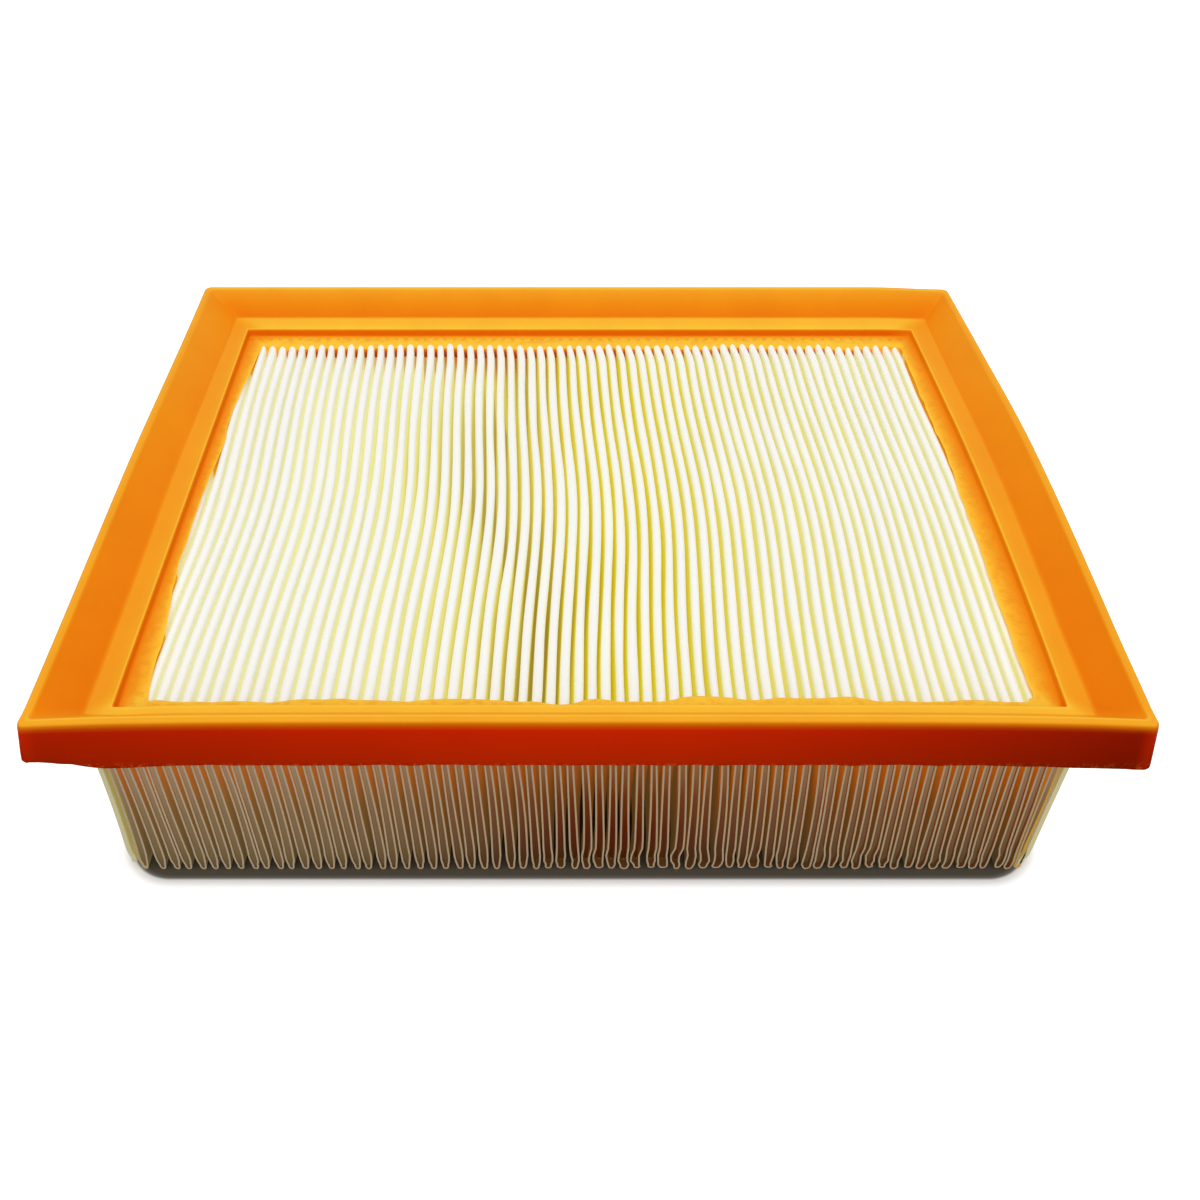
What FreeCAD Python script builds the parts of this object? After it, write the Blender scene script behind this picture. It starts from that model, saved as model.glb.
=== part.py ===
import FreeCAD, Part
import os

# Rectangular panel air filter: a soft cast flange moulded round the top of a folded paper pack.
# X runs across the folds, Y along them and Z up. The front is -Y.
# The origin is the middle of the filter's footprint, at the level of the lowest folds.
# All sizes are in millimetres.

# Flange outline at its top. The outer walls flare outwards towards the underside.
flange_width = 264.0
flange_depth = 209.0
wall_flare = 1.6
flange_corner_radius = 2.5
rim_edge_radius = 0.8

# Flange section, from the outer edge inwards and from the top down
rim_land_width = 1.8
lip_slope_width = 7.5
lip_drop = 7.4
band_width_side = 7.2
band_width_front = 3.2
band_width_rear = 8.0
recess_drop = 2.4
ledge_width_side = 5.1
ledge_width_front = 3.0
ledge_width_rear = 5.6
ridge_cover = 0.4
potting_depth = 4.0
potting_rise = 0.6
potting_margin = 0.3

# Folded paper pack
side_overhang = 14.0
end_cover = 1.2
pleat_height = 48.3
pleat_pitch_target = 3.37
paper_thickness = 0.6

# Hot-melt seals in the channels that open upwards, behind each row of cut paper edges
seal_setback = 1.2
seal_length = 4.0

# Levels
ridge_top_z = pleat_height
recess_floor_z = ridge_top_z + ridge_cover
band_z = recess_floor_z + recess_drop
flange_top_z = band_z + lip_drop
flange_bottom_z = ridge_top_z - potting_depth
potting_z = flange_bottom_z + potting_rise

# Folding pattern: a whole number of pleats fills the width between the overhangs
pack_width = flange_width - 2 * side_overhang
pack_depth = flange_depth - 2 * end_cover
pleat_count = round(pack_width / pleat_pitch_target)
pleat_pitch = pack_width / pleat_count
leaf_pitch = pleat_pitch / 2
fold_radius = leaf_pitch / 2
outer_fold_radius = fold_radius + paper_thickness / 2
channel_width = leaf_pitch - paper_thickness
ridge_centre_z = ridge_top_z - outer_fold_radius
valley_centre_z = outer_fold_radius
pack_front_y = -pack_depth / 2


def inset_rectangle(side, front, rear, z):
    """Corner points of the flange outline moved inwards by the given amounts."""
    left = -flange_width / 2 + side
    right = flange_width / 2 - side
    low = -flange_depth / 2 + front
    high = flange_depth / 2 - rear
    plan = [(left, low), (right, low), (right, high), (left, high)]
    return [FreeCAD.Vector(x, y, z) for x, y in plan]


def closed_face(points):
    return Part.Face(Part.makePolygon(points + [points[0]]))


def tapered_block(lower, upper):
    """Solid between two rectangles that lie one above the other."""
    faces = [closed_face(lower[::-1]), closed_face(upper)]
    for i in range(4):
        j = (i + 1) % 4
        faces.append(closed_face([lower[i], lower[j], upper[j], upper[i]]))
    return Part.makeSolid(Part.makeShell(faces))


def rectangular_block(side, front, rear, low_z, high_z):
    lower = inset_rectangle(side, front, rear, low_z)
    return closed_face(lower).extrude(FreeCAD.Vector(0, 0, high_z - low_z))


def flange_blank():
    """The flared outer block with its rounded corners and its rounded top edge."""
    blank = tapered_block(
        inset_rectangle(-wall_flare, -wall_flare, -wall_flare, flange_bottom_z),
        inset_rectangle(0, 0, 0, flange_top_z),
    )
    upright = [e for e in blank.Edges if abs(e.tangentAt(e.FirstParameter).z) > 0.5]
    blank = blank.makeFillet(flange_corner_radius, upright)
    rim = [e for e in blank.Edges if abs(e.BoundBox.ZMin - flange_top_z) < 1e-6]
    return blank.makeFillet(rim_edge_radius, rim)


def seal_frame(paper):
    """Flange with its sloped lip, flat band, recess and window, cast round the paper.

    Between the leaves the cast material stops a little above the flange's underside.
    """
    lip = rim_land_width + lip_slope_width
    dish = tapered_block(
        inset_rectangle(lip, lip, lip, band_z),
        inset_rectangle(rim_land_width, rim_land_width, rim_land_width, flange_top_z),
    )
    side = lip + band_width_side
    front = lip + band_width_front
    rear = lip + band_width_rear
    recess = rectangular_block(side, front, rear, recess_floor_z, band_z)
    window = rectangular_block(
        side + ledge_width_side,
        front + ledge_width_front,
        rear + ledge_width_rear,
        flange_bottom_z,
        recess_floor_z,
    )
    side = side_overhang + (leaf_pitch - paper_thickness) / 2 - potting_margin
    end = end_cover - potting_margin
    pocket = rectangular_block(side, end, end, flange_bottom_z, potting_z)
    return flange_blank().cut([dish, recess, window, pocket]).cut(paper)


def leaf_x(index):
    return -pack_width / 2 + (index + 0.5) * leaf_pitch


def fold_arc(index, centre_z, radius, direction):
    """Half circle from one leaf to the next, over a ridge (1) or under a valley (-1)."""
    x = leaf_x(index) + fold_radius
    start = FreeCAD.Vector(x - radius, 0, centre_z)
    middle = FreeCAD.Vector(x, 0, centre_z + direction * radius)
    end = FreeCAD.Vector(x + radius, 0, centre_z)
    return Part.Arc(start, middle, end).toShape()


def sheet_side(offset):
    """One face of the folded sheet, seen along the folds, at an offset from its middle."""
    edges = []
    for index in range(2 * pleat_count):
        rising = index % 2 == 0
        x = leaf_x(index) - offset if rising else leaf_x(index) + offset
        foot = FreeCAD.Vector(x, 0, valley_centre_z)
        head = FreeCAD.Vector(x, 0, ridge_centre_z)
        edges.append(Part.makeLine(foot, head))
        if rising:
            edges.append(fold_arc(index, ridge_centre_z, fold_radius + offset, 1))
        elif index < 2 * pleat_count - 1:
            edges.append(fold_arc(index, valley_centre_z, fold_radius - offset, -1))
    return edges


def sheet_end(index):
    """The cut edge of the sheet at the foot of its first or last leaf."""
    half = paper_thickness / 2
    start = FreeCAD.Vector(leaf_x(index) - half, 0, valley_centre_z)
    end = FreeCAD.Vector(leaf_x(index) + half, 0, valley_centre_z)
    return Part.makeLine(start, end)


def extrude_along_folds(edges, start_y, length):
    outline = Part.Wire(Part.sortEdges(edges)[0])
    outline.translate(FreeCAD.Vector(0, start_y, 0))
    return Part.Face(outline).extrude(FreeCAD.Vector(0, length, 0))


def pleated_media():
    """One sheet of filter paper folded into upright leaves with round ridges and valleys."""
    half = paper_thickness / 2
    edges = sheet_side(half) + sheet_side(-half)
    edges += [sheet_end(0), sheet_end(2 * pleat_count - 1)]
    return extrude_along_folds(edges, pack_front_y, pack_depth)


def channel_seal(index, start_y):
    """Strip of hot melt that fills one upward channel from its fold to the cast material."""
    radius = channel_width / 2
    x = leaf_x(index) + fold_radius
    foot_left = FreeCAD.Vector(x - radius, 0, valley_centre_z)
    foot_right = FreeCAD.Vector(x + radius, 0, valley_centre_z)
    head_left = FreeCAD.Vector(x - radius, 0, potting_z)
    head_right = FreeCAD.Vector(x + radius, 0, potting_z)
    edges = [
        fold_arc(index, valley_centre_z, radius, -1),
        Part.makeLine(foot_right, head_right),
        Part.makeLine(head_right, head_left),
        Part.makeLine(head_left, foot_left),
    ]
    return extrude_along_folds(edges, start_y, seal_length)


def edge_seals(start_y):
    odd_leaves = range(1, 2 * pleat_count - 1, 2)
    return Part.makeCompound([channel_seal(index, start_y) for index in odd_leaves])


def main():
    os.makedirs("parts", exist_ok=True)
    paper = pleated_media()
    nodes = {
        "seal_frame": seal_frame(paper),
        "pleated_media": paper,
        "front_edge_seals": edge_seals(pack_front_y + seal_setback),
        "rear_edge_seals": edge_seals(-pack_front_y - seal_setback - seal_length),
    }
    for name, shape in nodes.items():
        shape.exportStep("parts/" + name + ".step")
        box = shape.BoundBox
        size = "%.1f x %.1f x %.1f" % (box.XLength, box.YLength, box.ZLength)
        print(name, "solids", len(shape.Solids), "valid", shape.isValid(), size)
    print("pleats", pleat_count, "pitch %.3f" % pleat_pitch)


main()
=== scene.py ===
import math

import bpy
import numpy as np
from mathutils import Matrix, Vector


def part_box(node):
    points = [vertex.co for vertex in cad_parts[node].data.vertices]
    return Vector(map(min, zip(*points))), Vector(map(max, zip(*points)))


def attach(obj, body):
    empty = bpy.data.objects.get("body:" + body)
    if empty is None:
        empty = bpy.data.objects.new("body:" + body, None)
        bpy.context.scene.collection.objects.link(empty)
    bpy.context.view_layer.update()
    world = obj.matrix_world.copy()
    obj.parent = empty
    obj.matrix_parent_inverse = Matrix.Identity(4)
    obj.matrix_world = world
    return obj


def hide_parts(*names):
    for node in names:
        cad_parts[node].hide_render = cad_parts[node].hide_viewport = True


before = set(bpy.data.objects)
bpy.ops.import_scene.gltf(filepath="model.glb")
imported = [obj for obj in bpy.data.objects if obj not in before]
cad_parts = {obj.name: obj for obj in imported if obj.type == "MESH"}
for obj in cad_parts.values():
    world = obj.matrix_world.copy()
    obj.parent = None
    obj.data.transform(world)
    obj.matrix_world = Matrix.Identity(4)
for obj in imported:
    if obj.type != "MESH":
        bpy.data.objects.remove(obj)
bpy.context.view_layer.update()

# Everything below is in millimetres, and MM turns it into Blender's metres.
MM = 0.001

# Sizes read from the frame
flange_low, flange_high = [np.array(corner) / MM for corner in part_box("seal_frame")]
pack_low, pack_high = [np.array(corner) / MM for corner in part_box("pleated_media")]

# Flange section, from its outer top edge inwards and from the top down
WALL_FLARE = 1.6
CORNER_RADIUS = 1.9
LAND_WIDTH = 1.8
SLOPE_WIDTH = 7.5
LIP_DROP = 7.4
BAND_WIDTHS = (7.2, 3.2, 8.0)
RECESS_DROP = 2.4
LEDGE_WIDTHS = (5.1, 3.0, 5.6)
TOP_Z = flange_high[2]
UNDER_Z = flange_low[2]
HALF_WIDTH = flange_high[0] - WALL_FLARE
HALF_DEPTH = flange_high[1] - WALL_FLARE

# Folded paper: the sheet's thickness in the solids, and the slimmer one that is drawn here
PLEATS = 70
SHEET = 0.6
PAPER = 0.44
PITCH = (pack_high[0] - pack_low[0] - SHEET) / (PLEATS - 0.5)
RIDGE_Z = pack_high[2]
FRONT_Y = pack_low[1]
REAR_Y = pack_high[1]

# Heights where the upright leaves turn into their folds, and the least gap between two leaves
LEAF_FOOT_Z = 1.5
LEAF_HEAD_Z = RIDGE_Z - 1.3
LEAF_GAP = 0.42


def smoothstep(value, low, high):
    t = np.clip((value - low) / (high - low), 0.0, 1.0)
    return t * t * (3 - 2 * t)


def bell(value, centre, width):
    return np.exp(-(((value - centre) / width) ** 2))


def smooth_rows(seed, rows, places, spacing):
    """Random curves, one per row, that change smoothly over the given spacing."""
    rng = np.random.default_rng(seed)
    knots = int((places[-1] - places[0]) / spacing) + 3
    values = rng.normal(size=(rows, knots))
    along = (places - places[0]) / spacing
    cell = along.astype(int)
    t = along - cell
    t = t * t * (3 - 2 * t)
    return values[:, cell] * (1 - t) + values[:, cell + 1] * t


def add_mesh(name, vertices, faces, attributes=None, sharp_degrees=40):
    mesh = bpy.data.meshes.new(name)
    mesh.from_pydata((np.asarray(vertices) * MM).tolist(), [], faces)
    mesh.update()
    for key, values in (attributes or {}).items():
        layer = mesh.attributes.new(key, "FLOAT", "POINT")
        layer.data.foreach_set("value", np.asarray(values, np.float32).ravel())
    mesh.polygons.foreach_set("use_smooth", [True] * len(mesh.polygons))
    mesh.set_sharp_from_angle(angle=math.radians(sharp_degrees))
    piece = bpy.data.objects.new(name, mesh)
    bpy.context.scene.collection.objects.link(piece)
    return piece


def grid_faces(rows, columns, close_rows=False, close_columns=False):
    """Quads of a grid whose vertices are numbered row by row."""
    faces = []
    for i in range(rows if close_rows else rows - 1):
        a = i * columns
        b = (i + 1) % rows * columns
        for j in range(columns if close_columns else columns - 1):
            k = (j + 1) % columns
            faces.append((a + j, a + k, b + k, b + j))
    return faces


# ---------------------------------------------------------------- flange


def arc_rows(inset, depth, radius, start, stop, steps):
    """Insets and depths along an arc round a centre, from one angle to another."""
    angles = np.radians(np.linspace(start, stop, steps))
    return [(inset - radius * math.cos(a), depth - radius * math.sin(a)) for a in angles]


def flange_section():
    """Closed section of the flange, as rows from its underside over the top to the window.

    Each row has the insets of the sides, the front and the rear, a depth below the top and a
    corner radius. Shade tone is painted light and shade: it runs from 0 on the palest, lit
    faces and painted highlights to 1 on the outer walls, painted dark red as they lie in shade.
    Line says which edge of the side faces the row follows: 0 is the outer edge, 1 the foot of
    the sloped lip, 2 the step of the recess and 3 the edge of the window. Below that edge the
    window's wall is undercut at the sides, upright in front and leans inwards at the rear.
    """
    rows = []
    height = TOP_Z - UNDER_Z

    def add(inset, depth, radius, shade_tone, extra=(0, 0, 0), line=0.0):
        insets = tuple(inset + e for e in extra)
        rows.append((insets, depth, radius, shade_tone, line))

    # Underside and outer wall: painted shade, darkest low down and lighter towards the top of the
    # wall
    add(1.6, height, 0.6, 0.95)
    for inset, depth in arc_rows(-WALL_FLARE + 0.9, height - 0.8, 0.8, -80, -10, 4):
        add(inset, depth, CORNER_RADIUS, 1.0)
    for part in (0.88, 0.78, 0.68, 0.58, 0.48, 0.38, 0.28, 0.2, 0.16, 0.12):
        shade_tone = 0.82 + 0.18 * part - 0.2 * smoothstep(-part, -0.24, -0.08)
        add(-WALL_FLARE * part, height * part, CORNER_RADIUS, shade_tone)
    # Rounded top edge and land: painted shade lightening to a painted highlight along the land's
    # inner edge
    for inset, depth in arc_rows(0.85, 0.9, 0.9, 0, 90, 7):
        add(inset, depth, CORNER_RADIUS, 0.08 + 0.34 * smoothstep(depth, 0.2, 1.0))
    add(LAND_WIDTH - 0.5, 0.0, 1.6, 0.08)
    add(LAND_WIDTH - 0.15, 0.0, 1.5, 0.02)
    add(LAND_WIDTH + 0.15, 0.03, 1.4, 0.0)
    add(LAND_WIDTH + 0.35, 0.2, 1.3, 0.08)
    for part in np.linspace(0.1, 0.93, 10):
        cove = 0.35 * math.sin(math.pi * part)
        inset = LAND_WIDTH + SLOPE_WIDTH * part
        add(inset, LIP_DROP * part + cove, 1.2 - 0.7 * part, 0.2, line=part)
    lip = LAND_WIDTH + SLOPE_WIDTH
    middle = [w * 0.5 - 0.5 for w in BAND_WIDTHS]
    # Foot of the lip and step of the recess: a painted highlight along the step's top edge, painted
    # shade on its face
    add(lip, LIP_DROP - 0.06, 0.5, 0.26, line=1.0)
    add(lip + 0.5, LIP_DROP, 0.5, 0.12, line=1.0)
    add(lip + 0.5, LIP_DROP, 0.5, 0.12, middle, line=1.5)
    add(lip - 0.8, LIP_DROP, 0.5, 0.1, BAND_WIDTHS, line=2.0)
    add(lip - 0.3, LIP_DROP + 0.04, 0.5, 0.0, BAND_WIDTHS, line=2.0)
    add(lip - 0.05, LIP_DROP + 0.25, 0.5, 0.32, BAND_WIDTHS, line=2.0)
    step = LIP_DROP + RECESS_DROP
    add(lip, LIP_DROP + 0.8, 0.4, 0.58, BAND_WIDTHS, line=2.0)
    add(lip + 0.05, step - 0.5, 0.4, 0.62, BAND_WIDTHS, line=2.0)
    add(lip + 0.25, step - 0.1, 0.5, 0.55, BAND_WIDTHS, line=2.0)
    add(lip + 0.8, step, 0.6, 0.22, BAND_WIDTHS, line=2.0)
    window = [b + w for b, w in zip(BAND_WIDTHS, LEDGE_WIDTHS)]
    # Ledge paler towards the window, painted light at its edge, and the window's wall in painted
    # shade further down
    for part in (0.3, 0.5, 0.7, 0.85):
        ledge = [b + w * part for b, w in zip(BAND_WIDTHS, LEDGE_WIDTHS)]
        add(lip, step, 1.0, 0.2 - 0.2 * part, ledge, line=2 + part ** 2)
    add(lip, step + 0.15, 1.4, 0.0, window, line=3.0)
    for depth, shade_tone, grow in (
        (step + 0.5, 0.0, (-0.3, 0.2, 0.5)),
        (step + 1.2, 0.1, (-0.7, 0.1, 1.1)),
        (step + 2.3, 0.6, (-0.9, 0.0, 1.8)),
        (height - 0.6, 0.9, (-0.9, 0.0, 2.4)),
        (height, 0.9, (-0.9, 0.0, 2.0)),
    ):
        add(lip, depth, 2.0, shade_tone, [w + g for w, g in zip(window, grow)], line=3.0)
    return rows


def fold_place(number, y):
    """Sideways place of one ridge of the pack, counted from the left."""
    x = PITCH * (number + 0.5 - PLEATS / 2)
    return x + ridge_sway(x, y)


def side_shift(line, x, y):
    """How far the four edges of the side faces stand off their straight lines.

    The soft flange bows outwards on the right, and the foot of its sloped lip wanders. So does
    the window's left edge. Its right edge follows one fold at the rear and leaves it in front.
    """
    middle = np.clip(1 - (y / HALF_DEPTH) ** 2, 0, None)
    front = smoothstep(-y, 70, 100)
    nominal = HALF_WIDTH - LAND_WIDTH - SLOPE_WIDTH - BAND_WIDTHS[0] - LEDGE_WIDTHS[0]
    left_edge = -111.8 + 2.6 * smoothstep(-y, 35, 68) + 0.6 * smoothstep(-y, 70, 90)
    left_edge += 0.9 * bell(y, 18, 10) + 2.2 * smoothstep(y, 38, 76)
    right_edge = fold_place(PLEATS - 3, y) + 1.1 - 1.5 * smoothstep(-y, -15, 5)
    left = (
        -0.15 - 0.6 * smoothstep(-y, -80, 10),
        1.4 - 0.5 * bell(y, 5, 40) + 0.4 * smoothstep(y, 50, 90),
        0.45,
        left_edge + nominal,
    )
    right = (
        0.1 + 2.1 * middle + 0.4 * front - 0.6 * smoothstep(y, 5, 60),
        0.3 + 1.4 * bell(y, 5, 50) - 0.4 * smoothstep(-y, 50, 65),
        0.3 + 2.3 * middle - 0.3 * smoothstep(y, 5, 60),
        right_edge - nominal,
    )
    first = min(int(line), 2)
    part = line - first
    shifts = [side[first] * (1 - part) + side[first + 1] * part for side in (left, right)]
    return np.where(x < 0, *shifts)


def loop_shade_tone(shade_tone, line, x, y, on_side):
    """Tone of one row round its loop, where the sides differ from the front and rear ends.

    The painted highlight on the rim's inner edge shows at the ends only. The sloped lip is
    painted pale in front, and its painted shade darkens towards its foot at the rear and
    towards the front on the sides. The upright faces of the step and the window get less
    painted shade on the sides, and the level faces are painted paler at the ends.
    """
    if line == 0 and shade_tone < 0.05:
        return shade_tone + 0.09 * on_side
    if 0 < line < 1:
        side_tone = 0.15 + 0.05 * line + 0.2 * smoothstep(-y, -80, 90)
        end_tone = np.where(y > 0, 0.06 + 0.36 * line, 0.05)
        return end_tone + (side_tone - end_tone) * on_side
    if line == 2 and shade_tone > 0.3:
        side_tone = shade_tone * np.where(x > 0, 0.4, 0.7)
        return side_tone * on_side + shade_tone * 0.86 * (1 - on_side)
    if line == 3 and shade_tone > 0.3:
        return shade_tone * (1 - on_side)
    if line >= 1:
        return np.clip(shade_tone - 0.1 * (1 - on_side), 0, None)
    return np.full(len(x), float(shade_tone))


SIDE_STEP = 2.4
CORNER_STEPS = 6

# The first rows of the section, round the flange's lower outer edge, are a little uneven
LOWER_EDGE_ROWS = 5


def plan_loop(insets, radius):
    """Points of a rounded rectangle, anticlockwise from the front left corner."""
    side, front, rear = insets
    left, right = -HALF_WIDTH + side, HALF_WIDTH - side
    low, high = -HALF_DEPTH + front, HALF_DEPTH - rear
    corners = [(right, low, -90), (right, high, 0), (left, high, 90), (left, low, 180)]
    counts = [round(2 * half / SIDE_STEP) for half in (HALF_DEPTH, HALF_WIDTH)] * 2
    arcs = []
    for x, y, start in corners:
        centre_x = x - math.copysign(radius, x)
        centre_y = y - math.copysign(radius, y)
        angles = np.radians(start + np.linspace(0, 90, CORNER_STEPS + 1))
        arcs.append(
            np.stack([centre_x + radius * np.cos(angles), centre_y + radius * np.sin(angles)], 1)
        )
    points = []
    for index, count in enumerate(counts):
        points.append(arcs[index])
        start = arcs[index][-1]
        end = arcs[(index + 1) % 4][0]
        parts = (np.arange(1, count) / count)[:, None]
        points.append(start + (end - start) * parts)
    return np.concatenate(points)


def loop_noise(seed, count, spacing, amplitude):
    """Random offsets round a closed loop of points."""
    places = np.arange(count, dtype=float)
    curve = smooth_rows(seed, 1, places, spacing)[0]
    fade = smoothstep(places, count - 2 * spacing, count - 1)
    return amplitude * (curve * (1 - fade) + curve[0] * fade)


def droop(x, y):
    """How far the soft top edge sinks at the corners."""
    side = np.abs(x) / HALF_WIDTH
    front = smoothstep(-y, -0.2 * HALF_DEPTH, HALF_DEPTH)
    rear = smoothstep(y, 0.2 * HALF_DEPTH, HALF_DEPTH)
    sag = 1.7 * side ** 6 * front
    return sag + 0.9 * smoothstep(x, 0.78 * HALF_WIDTH, HALF_WIDTH) * rear


def settle_flange(points):
    """The relaxed shape of the soft flange: its corners droop and spread.

    At the front, the lower edge lifts at the left corner, hangs a little just beside it and
    hangs again at the right corner.
    """
    x, y, z = points.T
    height = smoothstep(z, UNDER_Z, TOP_Z)
    front_end = smoothstep(-y, 0.7 * HALF_DEPTH, HALF_DEPTH)
    lift = 1.3 * bell(x, -HALF_WIDTH, 14) * front_end
    lift -= 1.0 * bell(x, HALF_WIDTH, 24) * front_end
    lift -= 1.2 * bell(x, -HALF_WIDTH + 19, 8) * front_end
    z = z - droop(x, y) * (0.35 + 0.65 * height) + lift * (1 - height)
    spread = 0.4 * bell(np.abs(x), HALF_WIDTH, 6) * smoothstep(-y, 0.94 * HALF_DEPTH, HALF_DEPTH)
    x = x + np.sign(x) * spread
    return np.stack([x, y, z], 1)


def build_flange():
    """The cast flange, with its painted shade tones and the strengths of its painted shade and
    painted glow.
    """
    loops = []
    tones = []
    ledges = []
    glows = []
    for number, (insets, depth, radius, shade_tone, line) in enumerate(flange_section()):
        loop = plan_loop(insets, radius)
        count = len(loop)
        z = np.full(count, TOP_Z - depth)
        unit = loop / (HALF_WIDTH, HALF_DEPTH)
        inward = -unit / np.linalg.norm(unit, axis=1)[:, None]
        on_side = smoothstep(np.abs(unit[:, 0]) - np.abs(unit[:, 1]), -0.02, 0.05)
        tones.append(loop_shade_tone(shade_tone, line, *loop.T, on_side))
        ledges.append(np.full(count, 1.0 if 2 < line < 3 else 0.0))
        # Painted glow, as of light through the thin cast edge: strongest at the window's edge on
        # the sides, fainter along the front band
        glow = (0.35 + 0.65 * on_side) * max(line - 2, 0) ** 2
        front_band = (1 - on_side) * (loop[:, 1] < 0) * (1 <= line <= 2)
        glows.append(glow + 0.35 * front_band)
        if number < LOWER_EDGE_ROWS:
            z = z + loop_noise(40, count, 1.3, 0.13)
        near_side = np.abs(loop[:, 0]) / (HALF_WIDTH - insets[0])
        loop[:, 0] += side_shift(line, *loop.T) * np.clip(near_side, 0, 1) ** 8
        if line > 2:
            wander = loop_noise(21, count, 4, 0.65) * (1 - 0.85 * on_side)
            wander += loop_noise(22, count, 2.2, 0.15)
            shelf = smoothstep(loop[:, 0], 16, 30) * smoothstep(-loop[:, 0], -82, -74)
            wander += (0.4 + 1.3 * shelf) * (1 - on_side) * (loop[:, 1] < 0)
            loop = loop + inward * (wander * (line - 2) ** 1.5)[:, None]
            z = z + loop_noise(30 + number, count, 1.5, 0.05)
        loops.append(np.column_stack([loop, z]))
    count = len(loops[0])
    vertices = settle_flange(np.concatenate(loops))
    faces = grid_faces(len(loops), count, close_rows=True, close_columns=True)
    tones = np.concatenate(tones)
    # Painted shade: the front wall darkens towards its corners, more on the right, and so does the
    # lower rear wall of the window
    side = vertices[:, 0] / HALF_WIDTH
    wall_shade = np.abs(side) ** 1.6 * np.where(side > 0, 0.62, 0.30)
    wall_shade *= smoothstep(-vertices[:, 1], HALF_DEPTH - 3, HALF_DEPTH) * smoothstep(tones, 0.5, 0.8)
    wall_shade *= 1 - 0.6 * bell(np.abs(side), 1.0, 0.012)
    inner_wall = smoothstep(tones, 0.4, 0.6) * (vertices[:, 2] < UNDER_Z + 4)
    wall_shade += 0.35 * inner_wall * bell(vertices[:, 1], HALF_DEPTH - 24, 4)
    attributes = {
        "shade_tone": tones,
        "wall_shade": wall_shade,
        "ledge": np.concatenate(ledges),
        "glow": np.concatenate(glows),
    }
    return add_mesh("cast_flange", vertices, faces, attributes, sharp_degrees=60)


# ---------------------------------------------------------------- folded paper

LEAF_STEPS = 12
RIDGE_STEPS = 8
VALLEY_STEPS = 6

# The first and last leaf are stiff with glue and drawn this many times thicker
END_LEAF_FACTOR = 2.8


def stations():
    """Places along the folds, closer together near the two cut edges."""
    ends = np.array([0, 0.12, 0.5, 1.2, 2.5, 4.5, 7.0, 10.0])
    middle = np.linspace(FRONT_Y + 14, REAR_Y - 14, 40)
    return np.concatenate([FRONT_Y + ends, middle, (REAR_Y - ends)[::-1]])


def ridge_sway(x, y):
    """How far the free ridges lean sideways: most at mid-depth, little at the two ends."""
    lean = 0.45 + 2.7 * bell(x, 14, 66)
    hump = 3.0 - 1.4 * smoothstep(x, 55, 110)
    return lean + hump * bell(y, -10, 46)


class Channels:
    """The upward channels between the ridges: centre line and half width at any height.

    Channel v lies between leaves 2v-1 and 2v. Part runs from 0 at the folds to 1 at the top.
    """

    def __init__(self, places):
        rows = PLEATS + 1
        self.y = places[None, :]
        self.x = (-PLEATS * PITCH / 2 + PITCH * np.arange(rows))[:, None]
        side = np.abs(self.x) / (PLEATS * PITCH / 2)
        self.end = np.clip(bell(self.y, FRONT_Y, 9) + bell(self.y, REAR_Y, 9), 0, 1)
        # The ridges lean freely in the middle, and the cast flange holds them at both ends
        cut = smoothstep(-self.y, -FRONT_Y - 15, -FRONT_Y - 3)
        cut = cut + smoothstep(self.y, REAR_Y - 32, REAR_Y - 3)
        held = -0.9 - 0.6 * self.x / 117
        sway = ridge_sway(self.x, self.y)
        self.sway = sway + (held - sway) * cut
        foot = held + 1.5 - 2.5 * smoothstep(side, 0.93, 1.0)
        self.foot = foot + 1.6 * bell(self.y, -10, 60) * (1 - self.end)
        # Slow random changes along each channel
        self.top_noise = 0.10 * smooth_rows(1, rows, places, 26)
        self.foot_noise = 0.20 * smooth_rows(2, rows, places, 22)
        self.bow_noise = 0.14 * smooth_rows(3, rows, places, 34)
        self.width_noise = 0.06 * smooth_rows(4, rows, places, 22)
        self.height_noise = 0.10 * smooth_rows(5, rows, places, 30)
        # Half width at the top of the cut ends, where the outer channels gape more
        self.rim = 0.60 + 0.20 * side ** 0.8
        # Crumpled folds at the cut ends, more so in the right half
        rng = np.random.default_rng(6)
        right = smoothstep(self.x, -30, 20)
        self.bulb = rng.uniform(0.1, 1.0, (rows, 1)) * (0.15 + 0.85 * right) * self.end
        self.kink = rng.normal(0, 0.45, (rows, 1)) * (0.2 + 0.8 * right) * self.end
        self.bend = rng.normal(0, 0.16, (rows, 1)) * self.end
        self.foot_lift = rng.uniform(0.0, 0.8, (rows, 1)) * self.end * (0.25 + 0.75 * right)
        self.foot_lift = self.foot_lift + 1.6 * smoothstep(side, 0.965, 1.0)

    def centre(self, part):
        low = bell(part, 0.07, 0.06)
        shift = self.sway * part ** 1.3 + self.foot * (1 - part ** 1.3)
        shift = shift + self.top_noise * part + self.foot_noise * (1 - part)
        shift = shift + self.bow_noise * 4 * part * (1 - part)
        return self.x + shift + self.bend * math.sin(math.pi * part) + self.kink * low

    def half_width(self, part):
        inner = 0.77 + 0.08 * (1 - part)
        rim = self.rim + (1.10 - self.rim) * (1 - part) ** 1.1
        width = inner + (rim - inner) * self.end + self.width_noise * part
        width = width + 0.2 * self.bulb * bell(part, 0.04, 0.03)
        return width - (0.5 - 0.4 * self.bulb) * self.end * bell(part, 0, 0.045)


def leaf_parts():
    """Height parts of one leaf, closer together near the folds at its foot."""
    return np.linspace(0, 1, LEAF_STEPS) ** 1.8


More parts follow.
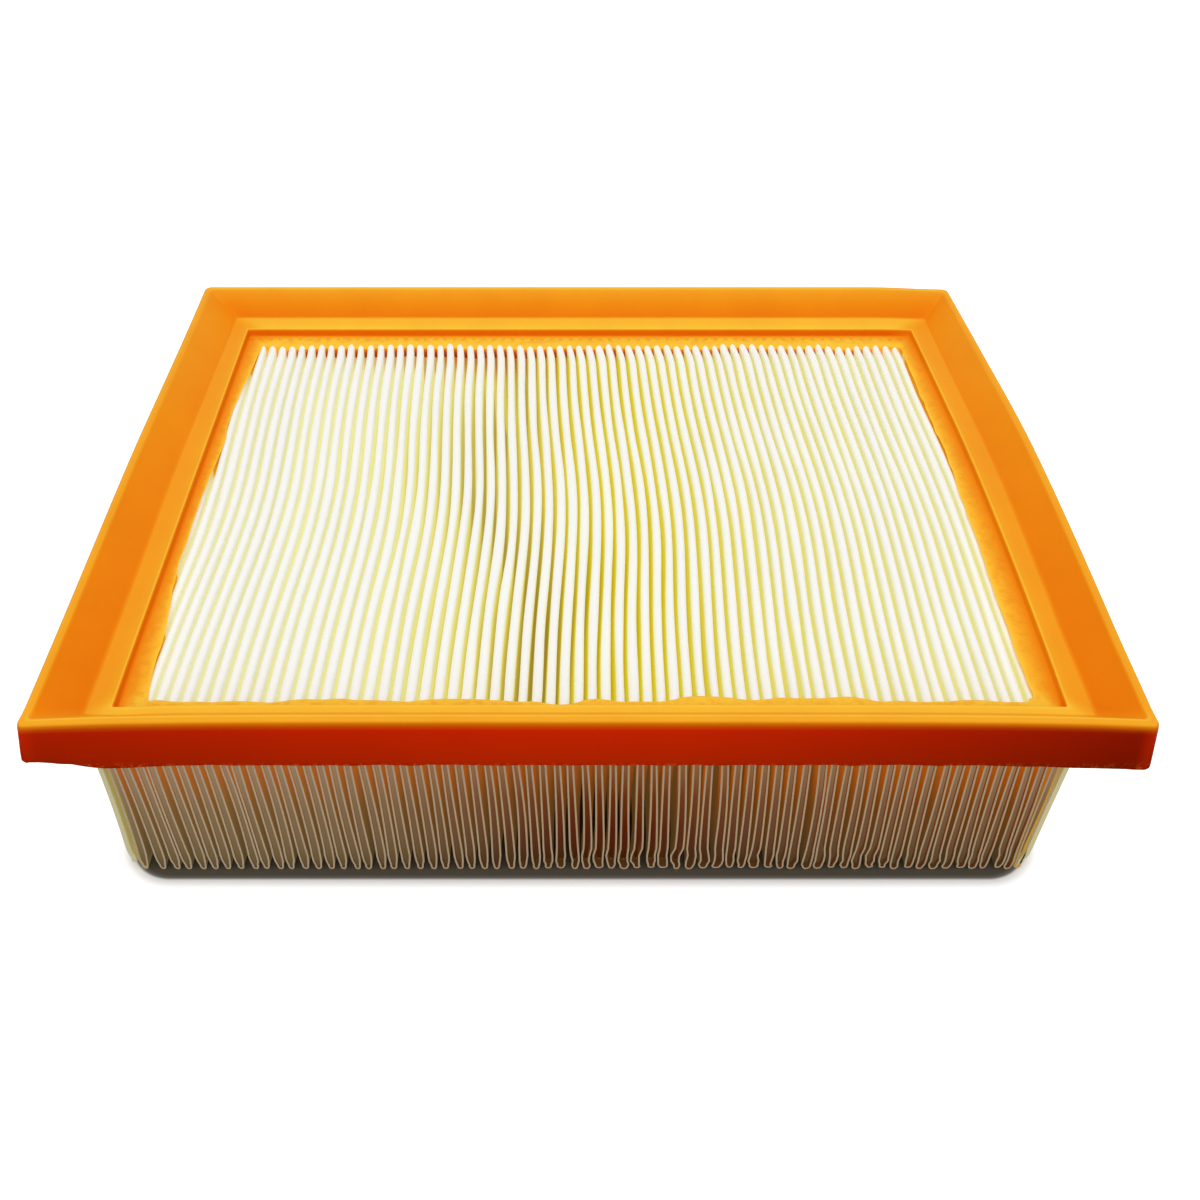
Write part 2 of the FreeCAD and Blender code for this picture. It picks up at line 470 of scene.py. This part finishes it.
def folded_line(channels):
    """Middle line of the folded sheet at every station, as (station, point, x and z)."""
    ridge_rise = RIDGE_Z - PAPER / 2 - LEAF_HEAD_Z
    parts = leaf_parts()
    heights = LEAF_FOOT_Z + (LEAF_HEAD_Z - LEAF_FOOT_Z) * parts
    left = np.stack([channels.centre(p) - channels.half_width(p) for p in parts])
    right = np.stack([channels.centre(p) + channels.half_width(p) for p in parts])
    rng = np.random.default_rng(7)
    for side in (left, right):
        crumple = rng.normal(0, 0.16, (LEAF_STEPS, PLEATS + 1, 1))
        crumple *= bell(parts, 0.05, 0.07)[:, None, None]
        side += crumple * channels.end * (0.25 + 0.75 * smoothstep(channels.x, -30, 20))
    # Leaves that come too close are moved apart
    overlap = np.clip(PAPER + LEAF_GAP - (left[:, 1:] - right[:, :-1]), 0, None) / 2
    left[:, 1:] += overlap
    right[:, :-1] -= overlap
    # The first and last leaf curl inwards at the foot and stop a little above the others
    curl = bell(parts, 0, 0.09)[:, None]
    right[:, 0] += 1.2 * curl
    left[:, PLEATS] -= 1.0 * curl
    raised = 1.8 * bell(parts, 0, 0.12)
    line = []
    for m in range(PLEATS):
        up = right[:, m]
        down = left[::-1, m + 1]
        ridge_start_z = LEAF_HEAD_Z + channels.height_noise[m]
        up_heights = heights + raised * (m == 0)
        down_heights = (heights + 0.6 * raised * (m == PLEATS - 1))[::-1]
        for k in range(LEAF_STEPS):
            line.append((up[k], np.full_like(up[k], up_heights[k])))
        line += half_turn(up[-1], down[0], ridge_start_z, ridge_rise, RIDGE_STEPS)
        for k in range(LEAF_STEPS):
            line.append((down[k], np.full_like(down[k], down_heights[k])))
        if m < PLEATS - 1:
            fall = LEAF_FOOT_Z - PAPER / 2 - channels.foot_lift[m + 1]
            line += half_turn(down[-1], right[0, m + 1], LEAF_FOOT_Z, -fall, VALLEY_STEPS)
    return np.transpose(np.array(line), (2, 0, 1))


def half_turn(start, end, z, rise, steps):
    """Points over or under a fold, without its two ends."""
    points = []
    for k in range(1, steps):
        angle = math.pi * k / steps
        x = (start + end) / 2 - (end - start) / 2 * math.cos(angle)
        points.append((x, z + rise * math.sin(angle)))
    return points


def line_normals(line):
    """Unit normals of the folded line at each of its points."""
    ahead = np.roll(line, -1, 1) - np.roll(line, 1, 1)
    ahead[:, 0] = line[:, 1] - line[:, 0]
    ahead[:, -1] = line[:, -1] - line[:, -2]
    ahead /= np.linalg.norm(ahead, axis=2, keepdims=True)
    return np.stack([-ahead[:, :, 1], ahead[:, :, 0]], 2)


def build_paper(channels, places):
    """The folded sheet as one closed skin, with what its colours depend on at each point.

    Below is the depth under the ridges and edge the distance to the nearer cut edge. Outer
    marks the first and last leaf, and lower the sheet's underside.
    """
    line = folded_line(channels)
    normals = line_normals(line)
    normals[:, :LEAF_STEPS] *= END_LEAF_FACTOR
    normals[:, -LEAF_STEPS:] *= END_LEAF_FACTOR
    skins = [line + normals * PAPER / 2, (line - normals * PAPER / 2)[:, ::-1]]
    loop = np.concatenate(skins, 1)
    rows, columns = loop.shape[:2]
    y = np.broadcast_to(places[:, None], (rows, columns))
    x, z = loop[:, :, 0], loop[:, :, 1]
    sink = (droop(x * 1.09, y) + 0.25) * smoothstep(np.abs(x), 100, 114)
    vertices = np.stack([x, y, z - sink * smoothstep(z, 0, RIDGE_Z)], 2)
    faces = grid_faces(rows, columns, close_columns=True)
    half = columns // 2
    last = (rows - 1) * columns
    for j in range(half - 1):
        a, b = j, j + 1
        c, d = columns - 2 - j, columns - 1 - j
        faces.append((d, c, b, a))
        faces.append((last + a, last + b, last + c, last + d))
    below = RIDGE_Z - vertices[:, :, 2]
    edge = np.minimum(y - FRONT_Y, REAR_Y - y)
    outer = np.zeros((rows, columns))
    outer[:, :LEAF_STEPS] = 1
    outer[:, half - LEAF_STEPS : half + LEAF_STEPS] = 1
    outer[:, -LEAF_STEPS:] = 1
    lower = np.zeros((rows, columns))
    lower[:, half:] = 1
    # These attributes place painted light and shade: light through the outermost leaves, stronger
    # light in the middle channels, and shade below the rear ledge
    rear_shade = smoothstep(y + 6 * smoothstep(-x, 15, 42), REAR_Y - 27, REAR_Y - 20)
    attributes = {
        "below": below,
        "edge": edge,
        "outer": outer,
        "lower": lower,
        "warm": smoothstep(x, -110, 20),
        "lit": smoothstep(np.abs(x + 1.3), 112.5, 114.5),
        "strong_light": 0.1 + 0.9 * bell(x, 14, 48) + 0.25 * smoothstep(x, 45, 80),
        "shade": 0.75 * rear_shade * bell(x, 5, 66),
    }
    return add_mesh("folded_paper", vertices.reshape(-1, 3), faces, attributes, 70)


# ---------------------------------------------------------------- channel seals

# How far each strip reaches in from the cut edges
SEAL_REACH = 7


def melt_recess(hot, part):
    """How far the melt lies inside the cut edges: nearly flush where it was laid on thickly."""
    return 0.4 + hot * (0.5 + 2.0 * (1 - part))


def build_seals(name, channels, places, outer_y, inward):
    """Strips of hot melt that close the channels a little inside the cut paper edges.

    Inward is 1 or -1 and says which way along Y the strips reach from the cut edges.
    """
    vertices = []
    faces = []
    parts = np.linspace(0, 0.95, 10) ** 1.7
    warm = []
    faced = []
    for v in range(1, PLEATS):
        x = channels.x[v, 0]
        hot = bell(x, 8, 44) + 0.3 * smoothstep(x, 20, 80)
        for face in (0, 1):
            for part in parts:
                depth = SEAL_REACH if face else melt_recess(hot, part)
                place = outer_y + inward * depth
                column = np.argmin(np.abs(places - place))
                centre = channels.centre(part)[v, column]
                half = channels.half_width(part)[v, column] - PAPER / 4
                z = LEAF_FOOT_Z + (LEAF_HEAD_Z - LEAF_FOOT_Z) * part
                if part == 0:
                    # The foot of a strip is narrow, as is the fold that it lies in
                    half *= 0.6
                    z -= 0.9
                for side in (-1, 0, 1):
                    dish = 0.35 * (1 - side * side) * (-1 if face else 1)
                    vertices.append((centre + side * half, place + inward * dish, z))
                    warm.append(hot)
                    faced.append(face)
        base = len(vertices) - 6 * len(parts)
        faces += strip_faces(base, len(parts))
    low = [vertex[2] for vertex in vertices]
    return add_mesh(name, vertices, faces, {"warm": warm, "low": low, "inner": faced})


def strip_faces(base, rows):
    """Faces of one closed strip that has two ends of three columns each."""
    faces = []
    second = base + 3 * rows
    for i in range(rows - 1):
        for j in range(2):
            a = base + 3 * i + j
            b = second + 3 * i + j
            faces.append((a, a + 1, a + 4, a + 3))
            faces.append((b, b + 3, b + 4, b + 1))
        for j in (0, 2):
            a = base + 3 * i + j
            b = second + 3 * i + j
            quad = (a, a + 3, b + 3, b)
            faces.append(quad if j == 0 else quad[::-1])
    for j in range(2):
        a = base + j
        b = second + j
        faces.append((a, b, b + 1, a + 1))
        a += 3 * (rows - 1)
        b += 3 * (rows - 1)
        faces.append((a, a + 1, b + 1, b))
    return faces


# ---------------------------------------------------------------- materials


BLACK = (0.0, 0.0, 0.0, 1.0)
WHITE = (1.0, 1.0, 1.0, 1.0)

# Distances that the colour ramps run over: down the paper, in from its cut edges, up the melt
BELOW_RANGE = 48
EDGE_RANGE = 40
MELT_RANGE = 46


def srgb(red, green, blue):
    """Linear colour of an ordinary 0 to 255 colour."""
    values = [c / 255 for c in (red, green, blue)]
    linear = [c / 12.92 if c <= 0.04045 else ((c + 0.055) / 1.055) ** 2.4 for c in values]
    return (*linear, 1.0)


class Nodes:
    """Shorthand for building a node material."""

    def __init__(self, name):
        self.material = bpy.data.materials.new(name)
        self.material.use_nodes = True
        self.tree = self.material.node_tree
        self.shader = self.tree.nodes["Principled BSDF"]
        self.output = self.tree.nodes["Material Output"]

    def add(self, kind, **settings):
        node = self.tree.nodes.new(kind)
        for key, value in settings.items():
            setattr(node, key, value)
        return node

    def link(self, start, end):
        self.tree.links.new(start, end)

    def attribute(self, name):
        return self.add("ShaderNodeAttribute", attribute_name=name).outputs["Fac"]

    def noise(self, scale, detail, roughness=0.5):
        node = self.add("ShaderNodeTexNoise")
        node.inputs["Scale"].default_value = scale
        node.inputs["Detail"].default_value = detail
        node.inputs["Roughness"].default_value = roughness
        self.link(self.add("ShaderNodeTexCoord").outputs["Object"], node.inputs["Vector"])
        return node.outputs["Fac"]

    def coordinates(self):
        """The outputs X, Y and Z of the object's own coordinates, in metres."""
        split = self.add("ShaderNodeSeparateXYZ")
        self.link(self.add("ShaderNodeTexCoord").outputs["Object"], split.inputs["Vector"])
        return split.outputs

    def smooth_rise(self, value, start, stop):
        """0 at one value, rising smoothly to 1 at the other."""
        node = self.add("ShaderNodeMapRange", interpolation_type="SMOOTHSTEP")
        self.link(value, node.inputs["Value"])
        node.inputs["From Min"].default_value = start
        node.inputs["From Max"].default_value = stop
        return node.outputs["Result"]

    def ramp(self, factor, stops):
        node = self.add("ShaderNodeValToRGB")
        elements = node.color_ramp.elements
        while len(elements) < len(stops):
            elements.new(0.5)
        for element, (position, colour) in zip(elements, stops):
            element.position = position
            element.color = colour
        self.link(factor, node.inputs["Fac"])
        return node.outputs["Color"]

    def calculate(self, operation, *terms, clamp=False):
        """One step of arithmetic. Each term is a number or the output of another node."""
        node = self.add("ShaderNodeMath", operation=operation, use_clamp=clamp)
        for socket, term in zip(node.inputs, terms):
            if isinstance(term, (int, float)):
                socket.default_value = term
            else:
                self.link(term, socket)
        return node.outputs["Value"]

    def scale(self, value, factor, offset=0.0):
        return self.calculate("MULTIPLY_ADD", value, factor, offset)

    def mix(self, factor, first, second, blend="MIX"):
        node = self.add("ShaderNodeMix", data_type="RGBA", blend_type=blend)
        if isinstance(factor, float):
            node.inputs["Factor"].default_value = factor
        else:
            self.link(factor, node.inputs["Factor"])
        for socket, value in ((node.inputs["A"], first), (node.inputs["B"], second)):
            if isinstance(value, tuple):
                socket.default_value = value
            else:
                self.link(value, socket)
        return node.outputs["Result"]

    def surface(self, colour, light, roughness):
        """Join the colour and the faint painted glow of the channels far down to the shader."""
        self.link(colour, self.shader.inputs["Base Color"])
        self.link(light, self.shader.inputs["Emission Color"])
        self.shader.inputs["Emission Strength"].default_value = 1.0
        self.shader.inputs["Roughness"].default_value = roughness

    def bump(self, height, distance, strength):
        node = self.add("ShaderNodeBump")
        node.inputs["Distance"].default_value = distance
        node.inputs["Strength"].default_value = strength
        self.link(height, node.inputs["Height"])
        self.link(node.outputs["Normal"], self.shader.inputs["Normal"])


def polyurethane():
    """Soft satin orange, with painted light and shade: pale on the lit level faces, dark red on the
    outer walls in shade.
    """
    n = Nodes("cast_polyurethane")
    shade_tone = n.attribute("shade_tone")
    # Painted shade: the orange darkens and reddens from the lit level faces to the outer walls in
    # shade
    colour = n.ramp(
        shade_tone,
        [
            (0.0, srgb(253, 200, 56)),
            (0.05, srgb(250, 180, 38)),
            (0.12, srgb(246, 160, 28)),
            (0.22, srgb(244, 145, 8)),
            (0.5, srgb(236, 114, 0)),
            (0.66, srgb(228, 88, 0)),
            (0.82, srgb(232, 42, 0)),
            (1.0, srgb(198, 44, 0)),
        ],
    )
    mottle = n.scale(n.noise(55, 3.0), 0.5, -0.12)
    colour = n.mix(mottle, colour, n.mix(1.0, colour, srgb(235, 205, 190), "MULTIPLY"))
    fine = n.ramp(n.noise(420, 4.0, 0.7), [(0.45, BLACK), (0.62, WHITE)])
    ledge = n.calculate("MULTIPLY", fine, n.attribute("ledge"))
    colour = n.mix(n.scale(ledge, 0.28), colour, srgb(226, 112, 10))
    # Painted shade of the small bumps over the folds along the rear ledge
    dots = n.calculate("MULTIPLY", pleat_dots(n), n.attribute("ledge"))
    colour = n.mix(n.scale(dots, 0.28), colour, srgb(214, 96, 0))
    speckle = n.ramp(n.noise(700, 4.0, 0.7), [(0.5, BLACK), (0.6, WHITE)])
    rough = n.calculate("MULTIPLY", speckle, rough_edge(n))
    colour = n.mix(rough, colour, srgb(236, 92, 40))
    # Painted shade on the front wall's corners and the lower rear wall of the window
    colour = n.mix(n.attribute("wall_shade"), colour, srgb(40, 0, 0))
    # Painted glow where light shines through the thin cast edges
    light = n.mix(n.attribute("glow"), BLACK, srgb(92, 58, 0))
    n.surface(colour, light, roughness=0.5)
    n.link(n.scale(shade_tone, -0.07, 0.07), n.shader.inputs["Specular IOR Level"])
    n.bump(n.noise(900, 3.0), 0.00006, 0.6)
    return n.material


def pleat_dots(n):
    """One small darker dot over each fold, in a row along the rear ledge: painted shade of the
    small bumps there.
    """
    place = n.coordinates()
    wave = n.calculate("SINE", n.scale(place["X"], 2 * math.pi / (PITCH * MM)))
    across = n.ramp(wave, [(0.1, BLACK), (0.6, WHITE)])
    centre = HALF_DEPTH - LAND_WIDTH - SLOPE_WIDTH - BAND_WIDTHS[2] - 2.7
    row = n.calculate("COMPARE", place["Y"], centre * MM, 0.7 * MM)
    return n.calculate("MULTIPLY", across, row)


def rough_edge(n):
    """1 in a narrow strip above the underside, where the skin of the casting is rough."""
    return n.smooth_rise(n.coordinates()["Z"], (UNDER_Z + 1.6) * MM, (UNDER_Z - 0.2) * MM)


def filter_paper():
    """Matt white paper, with painted shade and light: yellow green in the channels above and tan at
    the cut ends.
    """
    n = Nodes("filter_paper")
    below = n.scale(n.attribute("below"), 1 / BELOW_RANGE)
    edge = n.scale(n.attribute("edge"), 1 / EDGE_RANGE)
    outer = n.attribute("outer")
    lower = n.attribute("lower")
    # Leaves seen from above, painted darker and yellower from the ridges down as shade and light
    # through
    # the paper: pale ones, and greener ones in the middle, where the strong light falls
    pale = n.ramp(
        below,
        [
            (0.0, srgb(250, 250, 247)),
            (0.02, srgb(250, 250, 244)),
            (0.06, srgb(243, 242, 220)),
            (0.12, srgb(236, 235, 202)),
            (0.35, srgb(228, 226, 184)),
            (1.0, srgb(220, 214, 160)),
        ],
    )
    green = n.ramp(
        below,
        [
            (0.0, srgb(250, 250, 246)),
            (0.02, srgb(249, 249, 230)),
            (0.06, srgb(232, 228, 130)),
            (0.12, srgb(214, 208, 70)),
            (0.35, srgb(196, 184, 30)),
            (1.0, srgb(170, 150, 20)),
        ],
    )
    # Light that has come through the paper: faint in the pale channels, yellow in the others
    faint = n.ramp(
        below,
        [
            (0.0, BLACK),
            (0.025, srgb(58, 58, 46)),
            (0.10, srgb(128, 128, 106)),
            (0.35, srgb(132, 130, 96)),
            (1.0, srgb(130, 124, 76)),
        ],
    )
    glow = n.ramp(
        below,
        [
            (0.0, BLACK),
            (0.025, srgb(78, 74, 22)),
            (0.10, srgb(130, 118, 14)),
            (0.35, srgb(120, 108, 0)),
            (1.0, srgb(112, 96, 0)),
        ],
    )
    strong_light = n.attribute("strong_light")
    channel = n.mix(strong_light, pale, green)
    glow = n.mix(strong_light, faint, glow)
    # The upper part of the rear channels darkens near the cast ledge
    upper = n.ramp(below, [(0.02, BLACK), (0.06, WHITE), (0.2, WHITE), (0.3, BLACK)])
    shade = n.calculate("MULTIPLY", n.attribute("shade"), upper)
    channel = n.mix(shade, channel, srgb(190, 84, 10))
    glow = n.mix(shade, glow, srgb(104, 38, 0))
    colour = n.mix(lower, channel, srgb(240, 236, 215))
    light = n.mix(lower, glow, srgb(46, 30, 12))
    # Near the cut edges, painted shade and orange light thrown from the cast flange: tan on the
    # left and hotter on the right, darker downwards, with dark folds at the foot
    tan = n.ramp(
        below, [(0.1, srgb(178, 104, 34)), (0.5, srgb(128, 94, 46)), (1.0, srgb(88, 76, 46))]
    )
    hot = n.ramp(below, [(0.1, srgb(180, 96, 0)), (0.5, srgb(120, 69, 6)), (1.0, srgb(68, 56, 30))])
    warm = n.attribute("warm")
    near = n.mix(warm, tan, hot)
    fold = n.ramp(below, [(0.6, srgb(116, 60, 16)), (1.0, srgb(80, 46, 20))])
    inward = n.calculate("MULTIPLY", n.scale(lower, -1.0, 1.0), warm)
    near = n.mix(n.scale(inward, 0.8), near, fold)
    side_light = n.mix(warm, srgb(178, 168, 100), srgb(190, 156, 60))
    near = n.mix(n.attribute("lit"), near, side_light)
    # How far those tones reach in from the cut edges, and the pale cut edges themselves
    long = n.ramp(edge, [(0.0, WHITE), (0.25, (0.6, 0.6, 0.6, 1)), (0.8, BLACK)])
    short = n.ramp(edge, [(0.06, WHITE), (0.13, BLACK)])
    inside = n.ramp(below, [(0.06, BLACK), (0.16, WHITE)])
    fade = n.calculate("MULTIPLY", n.mix(lower, short, long), inside)
    cut = n.ramp(edge, [(0.001, WHITE), (0.004, BLACK)])
    colour = n.mix(fade, colour, near)
    colour = n.mix(cut, colour, n.mix(warm, srgb(208, 184, 154), srgb(204, 176, 142)))
    # The first and last leaf are cream: painted light shining through the single sheet
    colour = n.mix(outer, colour, n.mix(warm, srgb(234, 226, 180), srgb(240, 230, 180)))
    light = n.mix(fade, light, n.mix(1.0, near, srgb(200, 200, 200), "MULTIPLY"))
    light = n.mix(n.calculate("MAXIMUM", cut, outer), light, BLACK)
    n.surface(colour, light, roughness=0.9)
    n.shader.inputs["Specular IOR Level"].default_value = 0.1
    n.bump(n.noise(1500, 4.0), 0.00005, 0.5)
    return n.material


def hot_melt():
    """Dull amber melt, paler towards the left and right ends of the pack, with painted shade and a
    painted glow.
    """
    n = Nodes("hot_melt")
    low = n.scale(n.attribute("low"), 1 / MELT_RANGE)
    # Painted shade over the melt's amber: darker towards the bottom, and darker and redder towards
    # the middle of the pack, where the melt lies deeper in the channels
    pale = n.ramp(
        low, [(0.0, srgb(130, 108, 70)), (0.5, srgb(154, 128, 90)), (1.0, srgb(188, 160, 126))]
    )
    amber = n.ramp(
        low,
        [
            (0.0, srgb(86, 44, 12)),
            (0.3, srgb(114, 40, 0)),
            (0.6, srgb(138, 68, 16)),
            (0.85, srgb(172, 120, 72)),
        ],
    )
    colour = n.mix(n.attribute("warm"), pale, amber)
    # The colour is dimmed here, and the rest given back as painted glow
    base = n.mix(1.0, colour, srgb(190, 190, 190), "MULTIPLY")
    light = n.mix(1.0, colour, srgb(150, 150, 150), "MULTIPLY")
    # The faces towards the middle of the pack glow yellow and darken towards the cast material
    inner = n.ramp(
        low, [(0.5, srgb(208, 196, 84)), (0.64, srgb(190, 136, 36)), (0.78, srgb(164, 82, 8))]
    )
    light = n.mix(n.attribute("inner"), light, inner)
    n.surface(base, light, roughness=0.5)
    n.shader.inputs["Specular IOR Level"].default_value = 0.15
    n.bump(n.noise(500, 2.0), 0.00008, 0.6)
    return n.material


# ---------------------------------------------------------------- stage

# Floor, and the footprint of the lowest folds on it, which the painted shadow follows: its inset,
# its place and its round corners
FLOOR_HALF = 4000
FOOTPRINT_INSET = 1.9
FOOTPRINT_X = -1.5
FOOTPRINT_ROUNDING = 9

# Camera, placed from the middle of the flange's front top edge and looking down by an angle
CAMERA_LEFT = 7.3
CAMERA_BACK = 195.7
CAMERA_RISE = 212.9
CAMERA_DOWN_DEGREES = 41.86
CAMERA_LENS = 37.44
CAMERA_SHIFT = 0.0358


def build_floor():
    """A pale floor that the camera sees as white, apart from the shadow near the filter, which is
    cast in part and painted in part.
    """
    h = FLOOR_HALF
    corners = [(-h, -h, 0), (h, -h, 0), (h, h, 0), (-h, h, 0)]
    floor = add_mesh("studio_floor", corners, [(0, 1, 2, 3)])
    n = Nodes("studio_floor")
    path = n.add("ShaderNodeLightPath").outputs
    seen = n.calculate("MAXIMUM", path["Is Camera Ray"], path["Is Glossy Ray"])
    # Painted shadow: the floor's glow is held back near the lowest folds, and a dark band is
    # painted along them
    away = footprint_distance(n, 1.5, 8)
    pale = n.mix(footprint_distance(n, 2.7, 3.5), srgb(92, 86, 74), srgb(232, 232, 232))
    n.link(n.mix(seen, srgb(150, 150, 150), pale), n.shader.inputs["Base Color"])
    n.shader.inputs["Roughness"].default_value = 0.9
    n.shader.inputs["Specular IOR Level"].default_value = 0.1
    glow = n.add("ShaderNodeEmission")
    n.link(n.calculate("MULTIPLY", n.scale(seen, 0.7), away), glow.inputs["Strength"])
    both = n.add("ShaderNodeAddShader")
    n.link(n.shader.outputs["BSDF"], both.inputs[0])
    n.link(glow.outputs["Emission"], both.inputs[1])
    n.link(both.outputs["Shader"], n.output.inputs["Surface"])
    floor.data.materials.append(n.material)


def footprint_distance(n, start, stop):
    """0 under the filter, rising to 1 between two distances out from its lowest folds."""
    place = n.coordinates()
    half_x = pack_high[0] - FOOTPRINT_INSET
    squares = []
    for axis, half, centre in (("X", half_x, FOOTPRINT_X), ("Y", pack_high[1], 0.0)):
        off = n.calculate("ABSOLUTE", n.scale(place[axis], 1.0, -centre * MM))
        straight = (half - FOOTPRINT_ROUNDING) * MM
        gap = n.calculate("SUBTRACT", off, straight, clamp=True)
        squares.append(n.calculate("MULTIPLY", gap, gap))
    distance = n.calculate("SQRT", n.calculate("ADD", *squares))
    near = (FOOTPRINT_ROUNDING + start) * MM
    far = (FOOTPRINT_ROUNDING + stop) * MM
    return n.smooth_rise(distance, near, far)


def build_world():
    """Even light from all round, which the camera sees as white."""
    world = bpy.data.worlds.new("studio")
    bpy.context.scene.world = world
    world.use_nodes = True
    tree = world.node_tree
    background = tree.nodes["Background"]
    background.inputs["Color"].default_value = WHITE
    path = tree.nodes.new("ShaderNodeLightPath")
    seen = tree.nodes.new("ShaderNodeMath")
    seen.operation = "MAXIMUM"
    tree.links.new(path.outputs["Is Camera Ray"], seen.inputs[0])
    tree.links.new(path.outputs["Is Glossy Ray"], seen.inputs[1])
    strength = tree.nodes.new("ShaderNodeMapRange")
    strength.inputs["To Min"].default_value = 0.65
    strength.inputs["To Max"].default_value = 1.0
    tree.links.new(seen.outputs["Value"], strength.inputs["Value"])
    tree.links.new(strength.outputs["Result"], background.inputs["Strength"])


def add_area_light(name, place, target, size, power):
    light = bpy.data.lights.new(name, "AREA")
    light.shape = "DISK"
    light.size = size
    light.energy = power
    lamp = bpy.data.objects.new(name, light)
    lamp.location = place
    direction = Vector(target) - Vector(place)
    lamp.rotation_euler = direction.to_track_quat("-Z", "Y").to_euler()
    bpy.context.scene.collection.objects.link(lamp)


def build_lights():
    """One soft light from above and a fainter one from the front, placed in metres."""
    add_area_light("overhead", (0.0, 0.1, 1.3), (0, 0, 0.05), 1.1, 5.0)
    add_area_light("front_fill", (0.0, -1.2, 0.7), (0, 0, 0.03), 0.8, 3.0)


def build_camera():
    data = bpy.data.cameras.new("camera")
    data.sensor_width = 36
    data.lens = CAMERA_LENS
    data.shift_x = CAMERA_SHIFT
    camera = bpy.data.objects.new("camera", data)
    place = (-CAMERA_LEFT, -HALF_DEPTH - CAMERA_BACK, TOP_Z + CAMERA_RISE)
    camera.location = [c * MM for c in place]
    camera.rotation_euler = (math.radians(90 - CAMERA_DOWN_DEGREES), 0, 0)
    bpy.context.scene.collection.objects.link(camera)
    bpy.context.scene.camera = camera


# ---------------------------------------------------------------- assembly


def dress(piece, slot, material, *nodes):
    """Give a piece its material, hang it under the root body and hide the nodes of the solids that
    it stands for.
    """
    piece.data.materials.append(material)
    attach(piece, "root")
    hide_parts(*nodes)


def main():
    places = stations()
    channels = Channels(places)
    melt = hot_melt()
    front = build_seals("front_channel_seals", channels, places, FRONT_Y, 1)
    rear = build_seals("rear_channel_seals", channels, places, REAR_Y, -1)
    dress(build_flange(), "cast_polyurethane", polyurethane(), "seal_frame")
    dress(build_paper(channels, places), "filter_paper", filter_paper(), "pleated_media")
    dress(front, "hot_melt", melt, "front_edge_seals")
    dress(rear, "hot_melt", melt, "rear_edge_seals")
    build_floor()
    build_world()
    build_lights()
    build_camera()
    bpy.context.scene.view_settings.view_transform = "Standard"


main()
